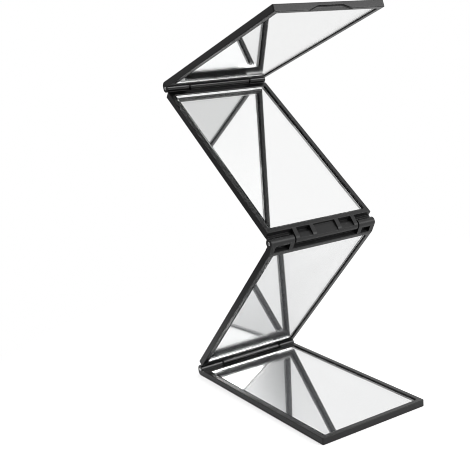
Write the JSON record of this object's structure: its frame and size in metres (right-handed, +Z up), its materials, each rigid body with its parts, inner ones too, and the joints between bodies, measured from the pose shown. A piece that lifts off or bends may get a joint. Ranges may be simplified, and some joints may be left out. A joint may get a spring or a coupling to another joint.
{
  "type": "folding mirror",
  "caption": "Compact travel mirror: framed mirror panels joined end to end by pinned hinges, folds flat into a stack and stands as a zigzag or opens into a long strip.",
  "frame": {"origin": "centre of the underside of the base panel, which lies flat", "axes": "X along the hinges, -Y towards the user's side, where the base panel's free end is, +Z up"},
  "size_m": [0.0806, 0.1613, 0.2487],
  "materials": {
    "frame": "fine-textured satin black",
    "mirror": "silvered glass, ground edges",
    "adhesive": "foam tape, matt",
    "pin": "bright drawn steel"
  },
  "bodies": {
    "base_panel": {"base_tray": "frame", "base_mirror": "mirror", "base_adhesive": "adhesive", "lower_left_pin": "pin", "lower_right_pin": "pin"},
    "lower_panel": {"lower_tray": "frame", "lower_mirror": "mirror", "lower_adhesive": "adhesive", "middle_left_pin": "pin", "middle_right_pin": "pin"},
    "upper_panel": {"upper_tray": "frame", "upper_mirror": "mirror", "upper_adhesive": "adhesive"},
    "top_panel": {"top_tray": "frame", "top_mirror": "mirror", "top_adhesive": "adhesive", "upper_left_pin": "pin", "upper_right_pin": "pin"}
  },
  "joints": [
    {"name": "lower_hinge", "type": "hinge", "parent": "base_panel", "child": "lower_panel", "pos_m": [0, 0.07185, 0.0046], "axis": [-1, 0, 0], "range_deg": [-46.1, 133.9]},
    {"name": "middle_hinge", "type": "hinge", "parent": "lower_panel", "child": "upper_panel", "pos_m": [0, -0.02503, 0.11205], "axis": [1, 0, 0], "range_deg": [-82.1, 97.9]},
    {"name": "upper_hinge", "type": "hinge", "parent": "upper_panel", "child": "top_panel", "pos_m": [0, 0.08919, 0.20085], "axis": [-1, 0, 0], "range_deg": [-54.1, 125.9]}
  ]
}
